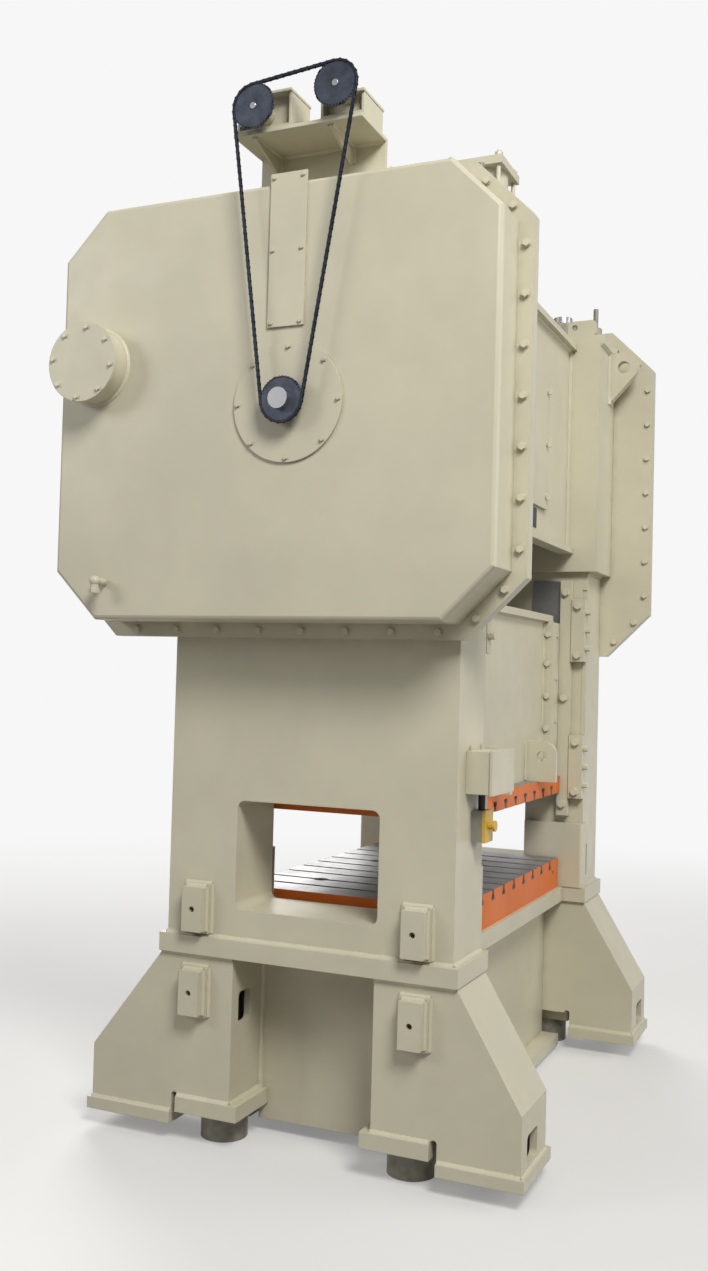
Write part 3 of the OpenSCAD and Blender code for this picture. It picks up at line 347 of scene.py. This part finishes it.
cream = paint("cream_enamel", CREAM)
steel = metal("turned_steel", BARE_STEEL)
# Bolt heads and latches: the cream enamel made lighter, a painted highlight, and glossier
bolt_paint_highlit = paint("bolt_enamel", scaled(CREAM, 1.08), rough=0.28, edge=0.0015)
black_steel = cast("black_steel", BLACK_STEEL, rough=0.36, metallic=0.7)
slate_steel = cast("slate_steel", SLATE_STEEL, rough=0.34, metallic=0.6)
foot_paint_in_shade = cast("foot_paint_in_shade", FOOT_PAINT_IN_SHADE, rough=0.45, metallic=0.1)
slot_materials = {
    "cream_paint": cream,
    "bare_steel": steel,
    "black_steel": black_steel,
    "cast_wheel": cast("cast_iron", CAST_IRON),
    "bronze": metal("bronze", BRONZE, rough=0.35),
    "belt_rubber": plastic("rubber", RUBBER, rough=0.6),
    "yellow_plastic": plastic("yellow_enamel", YELLOW, rough=0.3),
    "plate_black": plastic("black_plate", BLACK_STEEL, rough=0.45),
    "bolster_steel": slotted_plate("bolster_finish", "bolster"),
    "orange_paint": slotted_plate("slide_plate_finish", "slide_plate"),
}
node_materials = {
    # Bolts and latches take the lighter enamel, whose extra lightness is a painted highlight
    "gib_bolts": bolt_paint_highlit,
    "slide_bolts": bolt_paint_highlit,
    "left_cover_bolts": bolt_paint_highlit,
    "right_cover_bolts": bolt_paint_highlit,
    "cap_bolts": bolt_paint_highlit,
    "door_latches": bolt_paint_highlit,
    # Tie rods' feet and nuts take the darkened cream, a painted shade
    "tie_rod_nuts": foot_paint_in_shade,
    "button_station": station_finish("station_finish", "button_station"),
}


def dress_nodes():
    """Gives each CAD node the material of its slot, or its own."""
    for row in frame["record"]["subparts"]:
        node = nodes[row["node"]]
        material = node_materials.get(row["node"], slot_materials[row["material_slot"]])
        node.data.materials.clear()
        node.data.materials.append(material)


# Mesh helpers

TURN = 2 * math.pi
UP, DOWN, LEFT = (0, 0, 1), (0, 0, -1), (-1, 0, 0)
WELD_SMOOTHING = 60.0
MACHINED_SMOOTHING = 35.0


def finish_piece(name, data, body, material, smooth_angle):
    """Makes a piece that rides on one body of the frame."""
    mesh = bpy.data.meshes.new(name)
    data.normal_update()
    data.to_mesh(mesh)
    data.free()
    mesh.materials.append(material)
    piece = bpy.data.objects.new(name, mesh)
    bpy.context.scene.collection.objects.link(piece)
    mesh.shade_smooth()
    mesh.set_sharp_from_angle(angle=math.radians(smooth_angle))
    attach(piece, body)
    return piece


def join_rings(data, rings):
    """Faces between neighbouring rings of vertices, and one over each end."""
    count = len(rings[0])
    for ring, following in zip(rings, rings[1:]):
        for k in range(count):
            nearby = (k + 1) % count
            data.faces.new((ring[k], ring[nearby], following[nearby], following[k]))
    data.faces.new(tuple(reversed(rings[0])))
    data.faces.new(rings[-1])


def prism(data, outline, low, high, place):
    """A straight solid of outline between two levels of X."""
    rings = [[data.verts.new((x, place[0] + p.x, place[1] + p.y)) for p in outline] for x in (low, high)]
    join_rings(data, rings)


def round_bar(data, start, end, radius, rim, segments):
    """A bar between two points, with a chamfer of rim at both ends."""
    start, end = Vector(start), Vector(end)
    axis = (end - start).normalized()
    across = axis.orthogonal().normalized()
    beside = axis.cross(across)
    stations = (
        (start, radius - rim),
        (start + axis * rim, radius),
        (end - axis * rim, radius),
        (end, radius - rim),
    )
    rings = []
    for point, r in stations:
        ring = []
        for k in range(segments):
            angle = TURN * k / segments
            ring.append(data.verts.new(point + (across * math.cos(angle) + beside * math.sin(angle)) * r))
        rings.append(ring)
    join_rings(data, rings)


# Weld beads: step of the ripple, widths, how deep edges and root go in, and the crest's shares of the width
BEAD_STEP = 0.0055
BEAD_WIDTH = 0.0125
SMALL_BEAD = 0.009
BEAD_TUCK = 0.001
BEAD_ROOT = 0.002
CREST_FAR, CREST_NEAR = 0.72, 0.42


def ripple(index):
    """A bead's swell at one step: every other step is wider, and two waves make it uneven."""
    return 1.0 + 0.10 * (index % 2) + 0.05 * math.sin(index * 1.7) + 0.04 * math.sin(index * 0.31)


def bead(data, points, sides, width):
    """A rippled fillet weld along points. sides holds, for each point, the two ways out of the corner."""
    rings = []
    for index, (point, (first, second)) in enumerate(zip(points, sides)):
        swell = width * ripple(index)
        offsets = (
            first * swell - second * BEAD_TUCK,
            first * swell * CREST_FAR + second * swell * CREST_NEAR,
            first * swell * CREST_NEAR + second * swell * CREST_FAR,
            second * swell - first * BEAD_TUCK,
            -(first + second) * BEAD_ROOT,
        )
        rings.append([data.verts.new(point + offset) for offset in offsets])
    join_rings(data, rings)


def straight_bead(data, start, end, first, second, width=BEAD_WIDTH):
    """A weld from start to end, in the corner that first and second lead out of."""
    start, end = Vector(start), Vector(end)
    count = max(2, int((end - start).length / BEAD_STEP))
    points = [start.lerp(end, k / count) for k in range(count + 1)]
    sides = [(Vector(first), Vector(second))] * (count + 1)
    bead(data, points, sides, width)


def ring_bead(data, centre, radius, across, beside, away, width):
    """A weld round a boss or a tube. across and beside span its circle, and away looks out of its face."""
    count = int(TURN * radius / BEAD_STEP)
    points, sides = [], []
    for k in range(count + 1):
        angle = TURN * k / count
        out = Vector(across) * math.cos(angle) + Vector(beside) * math.sin(angle)
        points.append(Vector(centre) + out * radius)
        sides.append((out, Vector(away)))
    bead(data, points, sides, width)


def weld_piece(name, draw, body="frame"):
    data = bmesh.new()
    draw(data)
    bmesh.ops.recalc_face_normals(data, faces=data.faces)
    finish_piece(name, data, body, cream, WELD_SMOOTHING)


def centre_of(node):
    """Middle of a CAD node's box."""
    low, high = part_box(node)
    return (low + high) / 2


# Uprights, bed and crown, read from the frame
upright_low, upright_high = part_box("right_upright")
bed_low, bed_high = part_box("bed")
X_IN, X_OUT = upright_low.x, upright_high.x
Y_UP = upright_high.y
Z_BED = bed_high.z
Z_JOINT = upright_high.z
Z_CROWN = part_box("rear_balance_cylinder")[0].z
FLOOR_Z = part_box("tie_rod_nuts")[0].z


def draw_base_welds(data):
    """Foot of each upright, on the bed."""
    for side in (-1, 1):
        out, inward = (side, 0, 0), (-side, 0, 0)
        x_in, x_out = side * X_IN, side * X_OUT
        straight_bead(data, (x_out, -Y_UP, Z_BED), (x_out, Y_UP, Z_BED), out, UP)
        straight_bead(data, (x_in, -Y_UP, Z_BED), (x_in, Y_UP, Z_BED), inward, UP)
        for front in (-1, 1):
            y = front * Y_UP
            straight_bead(data, (x_in, y, Z_BED), (x_out, y, Z_BED), (0, front, 0), UP)


# Legs, whose foot plates stand out past them by one lip
FOOT_LIP = 0.015
X_LEG = bed_high.x - FOOT_LIP
X_LEG_IN = X_LEG - 0.321
X_END_PLATE = X_LEG - 0.247
Y_LEG_IN = 0.291
Y_LEG_TOP = Y_UP + 0.016
FRONT_TOE, REAR_TOE = -bed_low.y - FOOT_LIP, bed_high.y - FOOT_LIP
NOTCH_Y, NOTCH_HALF = 0.533, 0.014
Z_PLINTH = Z_BED - 0.071
INNER_FOOT = FLOOR_Z + 0.176
OUTER_FOOT = FLOOR_Z + 0.112


def draw_leg_welds(data):
    """Legs under the bed's top plate, on their foot plates and on the end plates between them."""
    for side in (-1, 1):
        out, inward = (side, 0, 0), (-side, 0, 0)
        x, x_in, x_plate = side * X_LEG, side * X_LEG_IN, side * X_END_PLATE
        for front, toe in ((-1, FRONT_TOE), (1, REAR_TOE)):
            away, back = (0, front, 0), (0, -front, 0)
            y_in, y_top, y_toe = front * Y_LEG_IN, front * Y_LEG_TOP, front * toe
            y_stop, y_start = front * (NOTCH_Y - NOTCH_HALF), front * (NOTCH_Y + NOTCH_HALF)
            straight_bead(data, (x, y_in, Z_PLINTH), (x, y_top, Z_PLINTH), out, DOWN)
            straight_bead(data, (x_plate, y_in, INNER_FOOT), (x_plate, y_in, Z_PLINTH), out, back)
            straight_bead(data, (x, y_in, INNER_FOOT), (x, y_stop, INNER_FOOT), out, UP)
            straight_bead(data, (x_plate, y_in, INNER_FOOT), (x, y_in, INNER_FOOT), back, UP)
            straight_bead(data, (x, y_start, OUTER_FOOT), (x, y_toe, OUTER_FOOT), out, UP)
            straight_bead(data, (x_in, y_toe, OUTER_FOOT), (x, y_toe, OUTER_FOOT), away, UP, SMALL_BEAD)
            straight_bead(data, (x_in, y_start, OUTER_FOOT), (x_in, y_toe, OUTER_FOOT), inward, UP)
        straight_bead(data, (x_plate, -Y_LEG_IN, Z_PLINTH), (x_plate, Y_LEG_IN, Z_PLINTH), out, DOWN)


# Key blocks, each a base with a smaller plate on it, as half widths and half heights
KEY_BASE = (0.058, 0.095)
KEY_PLATE = (0.044, 0.086)
KEY_STEP = 0.018
key_low, key_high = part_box("key_blocks")
KEY_Y = key_high.y - KEY_BASE[0]
KEY_PLACES = ((key_low.z + KEY_BASE[1], X_LEG), (key_high.z - KEY_BASE[1], X_OUT))


def plate_beads(data, side, face, y, z, half_w, half_h):
    """Four edges of a plate that stands on a side face of the press."""
    x, out = side * face, (side, 0, 0)
    for edge in (-1, 1):
        z_edge, y_edge = z + edge * half_h, y + edge * half_w
        straight_bead(data, (x, y - half_w, z_edge), (x, y + half_w, z_edge), (0, 0, edge), out, SMALL_BEAD)
        straight_bead(data, (x, y_edge, z - half_h), (x, y_edge, z + half_h), (0, edge, 0), out, SMALL_BEAD)


def draw_key_welds(data):
    for side in (-1, 1):
        for front in (-1, 1):
            for z, face in KEY_PLACES:
                plate_beads(data, side, face, front * KEY_Y, z, *KEY_BASE)
                plate_beads(data, side, face + KEY_STEP, front * KEY_Y, z, *KEY_PLATE)


# Crown: end plates, the plates between them, and lifting lugs on its ends
X_CROWN_IN = X_IN - 0.038
Y_END = 0.640
Y_MID = -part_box("blank_plate")[1].y
LOWER_SEAM = Z_JOINT + 0.117
UPPER_SEAM = Z_CROWN - 0.030
END_SEAM = Z_CROWN - 0.001
CROWN_BEAD = 0.014
LUG_FACES = ((0.970, -1), (1.015, 1))
LUG_FOOT, LUG_HEAD = Z_CROWN - 0.266, Z_CROWN - 0.004


def draw_crown_welds(data):
    for side in (-1, 1):
        inward = (-side, 0, 0)
        x, x_in, x_out = side * X_CROWN_IN, side * X_IN, side * X_OUT
        for front in (-1, 1):
            away = (0, front, 0)
            y_mid, y_up, y_end = front * Y_MID, front * Y_UP, front * Y_END
            straight_bead(data, (x, y_mid, LOWER_SEAM), (x, y_mid, UPPER_SEAM), inward, away, CROWN_BEAD)
            straight_bead(data, (x_in, y_up, Z_JOINT), (x_out, y_up, Z_JOINT), away, DOWN)
            straight_bead(data, (x, y_end, END_SEAM), (x_out, y_end, END_SEAM), away, DOWN)
    for front in (-1, 1):
        away, y = (0, front, 0), front * Y_MID
        straight_bead(data, (-X_CROWN_IN, y, LOWER_SEAM), (X_CROWN_IN, y, LOWER_SEAM), away, UP)
        straight_bead(data, (-X_CROWN_IN, y, UPPER_SEAM), (X_CROWN_IN, y, UPPER_SEAM), away, DOWN)


def draw_crown_lug_welds(data):
    for side in (-1, 1):
        for front in (-1, 1):
            away, y = (0, front, 0), front * Y_END
            for face, way in LUG_FACES:
                x = side * face
                straight_bead(data, (x, y, LUG_FOOT), (x, y, LUG_HEAD), (side * way, 0, 0), away)


# Pinion shaft's boss on each gear cover
boss = centre_of("pinion_shaft")
BOSS_R = 0.143
BOSS_BEAD = 0.010
X_FACE = -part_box("crank_seal_plate")[1].x


def draw_cover_welds(data):
    for side in (-1, 1):
        foot = (side * X_FACE, boss.y, boss.z)
        ring_bead(data, foot, BOSS_R, (0, 1, 0), (0, 0, 1), (side, 0, 0), BOSS_BEAD)


# Deck of the cam boxes: its underside, and the faces of the brackets that hold it
platform_low, platform_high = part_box("cam_platform")
X_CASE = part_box("left_gear_case_back")[0].x
Z_DECK = platform_high.z - 0.014
DECK_FRONT, DECK_REAR = platform_low.y + 0.006, platform_high.y - 0.006
BRACKET_END, BRACKET_START = 0.006 - X_FACE, X_CASE - 0.002
BRACKET_FOOT, BRACKET_HEAD = Z_DECK - 0.064, Z_DECK - 0.004
BRACKET_FACES = ((-0.142, -1), (-0.130, 1), (0.163, -1), (0.175, 1))
DECK_BEAD = 0.008


def draw_platform_welds(data):
    """Brackets under the deck, and the deck's back plate on the gear case."""
    for y, way in BRACKET_FACES:
        beside = (0, way, 0)
        straight_bead(data, (BRACKET_END, y, Z_DECK), (BRACKET_START, y, Z_DECK), beside, DOWN, DECK_BEAD)
        straight_bead(data, (X_CASE, y, BRACKET_FOOT), (X_CASE, y, BRACKET_HEAD), beside, LEFT, DECK_BEAD)
    straight_bead(data, (X_CASE, DECK_FRONT, Z_DECK), (X_CASE, DECK_REAR, Z_DECK), LEFT, DOWN, DECK_BEAD)


# Balance cylinders: a tube on a square base
BASE_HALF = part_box("rear_balance_cylinder")[1].x
BASE_TOP = Z_CROWN + 0.026
TUBE_R = 0.118
BALANCE_Y = centre_of("rear_balance_cylinder").y


def draw_balance_welds(data):
    for front in (-1, 1):
        y = front * BALANCE_Y
        ring_bead(data, (0, y, BASE_TOP), TUBE_R, (1, 0, 0), (0, 1, 0), UP, SMALL_BEAD)
        for edge in (-1, 1):
            x_edge, y_edge = edge * BASE_HALF, y + edge * BASE_HALF
            straight_bead(data, (-BASE_HALF, y_edge, Z_CROWN), (BASE_HALF, y_edge, Z_CROWN),
                          (0, edge, 0), UP, SMALL_BEAD)
            straight_bead(data, (x_edge, y - BASE_HALF, Z_CROWN), (x_edge, y + BASE_HALF, Z_CROWN),
                          (edge, 0, 0), UP, SMALL_BEAD)


# Slide: ribs, lugs and the ledge over them
slide_low, slide_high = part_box("slide")
Y_SLIDE = 0.420
X_RIB = 0.628
X_LEDGE = 0.626
Z_LEDGE = slide_high.z - 0.033
RIB_FOOT, RIB_HEAD = slide_low.z + 0.004, slide_high.z - 0.034
SLIDE_LUG_X, SLIDE_LUG_HALF = 0.365, 0.015
SLIDE_LUG_HEAD = slide_low.z + 0.188


def draw_slide_welds(data):
    for front in (-1, 1):
        away, y = (0, front, 0), front * Y_SLIDE
        for side in (-1, 1):
            x = side * X_RIB
            straight_bead(data, (x, y, RIB_FOOT), (x, y, RIB_HEAD), (-side, 0, 0), away, SMALL_BEAD)
            for edge in (-1, 1):
                x = side * SLIDE_LUG_X + edge * SLIDE_LUG_HALF
                straight_bead(data, (x, y, RIB_FOOT), (x, y, SLIDE_LUG_HEAD), (edge, 0, 0), away, SMALL_BEAD)
        straight_bead(data, (-X_LEDGE, y, Z_LEDGE), (X_LEDGE, y, Z_LEDGE), away, DOWN, SMALL_BEAD)


def build_welds():
    weld_piece("base_welds", draw_base_welds)
    weld_piece("leg_welds", draw_leg_welds)
    weld_piece("key_block_welds", draw_key_welds)
    weld_piece("crown_welds", draw_crown_welds)
    weld_piece("crown_lug_welds", draw_crown_lug_welds)
    weld_piece("cover_welds", draw_cover_welds)
    weld_piece("platform_welds", draw_platform_welds)
    weld_piece("balance_welds", draw_balance_welds)
    weld_piece("slide_welds", draw_slide_welds, "slide")


# Chain sprockets with full teeth, two for each pitch of the chain, and the cam boxes' shafts
TEETH = 40
PITCH = 0.0254
ROUNDING = 1e-9
PITCH_R = TEETH / 2 * PITCH / TURN
TIP_R = PITCH_R + 0.0034
GULLET_R = 0.00435
GULLET_PARTS = range(-3, 4)
GULLET_STEP = math.radians(24)
TIP_ENDS = (0.43, 0.57)
DISC_HALF = 0.0036
HUB_TUCK = 0.0005
CRANK_HUB_R, CAM_HUB_R = 0.058, 0.030
HUB_SEGMENTS = 48
CAM_SHAFT_R, CAM_SHAFT_RIM = 0.012, 0.0015
CAM_SHAFT_SEGMENTS = 40
X_CHAIN = centre_of("drive_chain").x
X_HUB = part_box("crank_sprocket")[1].x
X_SHAFT_END, X_SHAFT_BACK = (corner.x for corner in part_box("rear_cam_sprocket"))
wheels = [centre_of(node) for node in ("rear_cam_sprocket", "front_cam_sprocket", "crank_sprocket")]
SHAFTS = [(wheel.y, wheel.z) for wheel in wheels]
REAR_CAM, FRONT_CAM, CRANK = SHAFTS


def chain_course():
    """For each shaft: the angle of the chain's first roller on it, by walking the chain round all three."""
    ways = []
    for index, (y, z) in enumerate(SHAFTS):
        next_y, next_z = SHAFTS[(index + 1) % len(SHAFTS)]
        ways.append((math.atan2(-(next_y - y), next_z - z), math.hypot(next_y - y, next_z - z)))
    arcs = [PITCH_R * ((ways[k][0] - ways[k - 1][0]) % TURN) for k in range(len(ways))]
    total = sum(arcs) + sum(length for _, length in ways)
    link = total / (2 * round(total / PITCH / 2))
    turns, gone = [], 0.0
    for k, (_, length) in enumerate(ways):
        first = math.ceil(gone / link - ROUNDING) * link - gone
        turns.append(ways[k - 1][0] + first / PITCH_R)
        gone += arcs[k] + length
    return turns


def on_circle(angle, radius):
    return Vector((math.cos(angle), math.sin(angle))) * radius


def tooth_points(turn):
    """Outline of a sprocket's disc: a round gullet, then a flat tip, for each tooth."""
    points = []
    step = TURN / TEETH
    for k in range(TEETH):
        middle = turn + k * step
        for part in GULLET_PARTS:
            angle = middle + math.pi + part * GULLET_STEP
            points.append(on_circle(middle, PITCH_R) + on_circle(angle, GULLET_R))
        for part in TIP_ENDS:
            points.append(on_circle(middle + part * step, TIP_R))
    return points


def sprocket(name, node, body, place, turn, hub_r):
    """A toothed disc in the chain's plane, with its hub on the inner side."""
    data = bmesh.new()
    hub = [on_circle(TURN * k / HUB_SEGMENTS, hub_r) for k in range(HUB_SEGMENTS)]
    prism(data, tooth_points(turn), X_CHAIN - DISC_HALF, X_CHAIN + DISC_HALF, place)
    prism(data, hub, X_CHAIN + DISC_HALF - HUB_TUCK, X_HUB, place)
    bmesh.ops.recalc_face_normals(data, faces=data.faces)
    piece = finish_piece(name, data, body, slate_steel, MACHINED_SMOOTHING)
    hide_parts(node)


def cam_shaft(name, body, place):
    """Bright shaft of a cam box, with its end before the sprocket."""
    data = bmesh.new()
    round_bar(data, (X_SHAFT_END, *place), (X_SHAFT_BACK, *place),
              CAM_SHAFT_R, CAM_SHAFT_RIM, CAM_SHAFT_SEGMENTS)
    finish_piece(name, data, body, steel, MACHINED_SMOOTHING)


def build_sprockets():
    rear_turn, front_turn, crank_turn = chain_course()
    sprocket("crank_sprocket_teeth", "crank_sprocket", "crank", CRANK, crank_turn, CRANK_HUB_R)
    sprocket("rear_cam_wheel", "rear_cam_sprocket", "rear_cam", REAR_CAM, rear_turn, CAM_HUB_R)
    sprocket("front_cam_wheel", "front_cam_sprocket", "front_cam", FRONT_CAM, front_turn, CAM_HUB_R)
    cam_shaft("rear_cam_shaft", "rear_cam", REAR_CAM)
    cam_shaft("front_cam_shaft", "front_cam", FRONT_CAM)


# Stage, lights and camera

def build_stage():
    data = bmesh.new()
    level = Matrix.Translation((0, 0, FLOOR_Z))
    bmesh.ops.create_grid(data, x_segments=1, y_segments=1, size=FLOOR_REACH, matrix=level)
    mesh = bpy.data.meshes.new("floor")
    data.to_mesh(mesh)
    data.free()
    mesh.materials.append(stage_material("floor_finish", FLOOR))
    floor = bpy.data.objects.new("floor", mesh)
    bpy.context.scene.collection.objects.link(floor)


def lamp(name, place, target, size, power, colour):
    data = bpy.data.lights.new(name, "AREA")
    data.shape = "RECTANGLE"
    data.size, data.size_y = size
    data.energy = power
    data.color = colour
    light = bpy.data.objects.new(name, data)
    bpy.context.scene.collection.objects.link(light)
    light.location = place
    light.rotation_euler = (Vector(target) - Vector(place)).to_track_quat("-Z", "Y").to_euler()


def build_lights():
    for name, settings in LAMPS.items():
        lamp(name, *settings)


def build_world():
    """The camera sees the backdrop's white, and the press is lit by a dimmer one."""
    world = bpy.data.worlds.new("studio")
    world.use_nodes = True
    bpy.context.scene.world = world
    tree = world.node_tree
    background = tree.nodes["Background"]
    background.inputs["Strength"].default_value = 1.0
    rays = add_node(tree, "ShaderNodeLightPath")
    seen = math_node(tree, "MAXIMUM", rays.outputs["Is Camera Ray"],
                     math_node(tree, "MULTIPLY", rays.outputs["Is Glossy Ray"], GLOSSY_SHARE))
    tree.links.new(mix(tree, seen, WORLD_LIGHT, (BACKDROP,) * 3), background.inputs["Color"])


def build_camera():
    yaw, pitch, roll = (math.radians(a) for a in (CAMERA_YAW, CAMERA_PITCH, CAMERA_ROLL))
    ahead = Vector((math.cos(pitch) * math.cos(yaw), math.cos(pitch) * math.sin(yaw), math.sin(pitch)))
    level = Vector((math.sin(yaw), -math.cos(yaw), 0.0))
    down = ahead.cross(level)
    right = math.cos(roll) * level + math.sin(roll) * down
    image_down = -math.sin(roll) * level + math.cos(roll) * down
    turn = Matrix((right, -image_down, -ahead)).transposed().to_4x4()
    data = bpy.data.cameras.new("photo_camera")
    data.sensor_fit = "VERTICAL"
    data.sensor_height = CAMERA_SENSOR
    data.lens = CAMERA_LENS
    data.clip_end = 200.0
    camera = bpy.data.objects.new("photo_camera", data)
    bpy.context.scene.collection.objects.link(camera)
    camera.matrix_world = Matrix.Translation(CAMERA_AT) @ turn
    bpy.context.scene.camera = camera


build_camera()
dress_nodes()
build_welds()
build_sprockets()
build_stage()
build_lights()
build_world()
bpy.context.scene.view_settings.view_transform = "Standard"
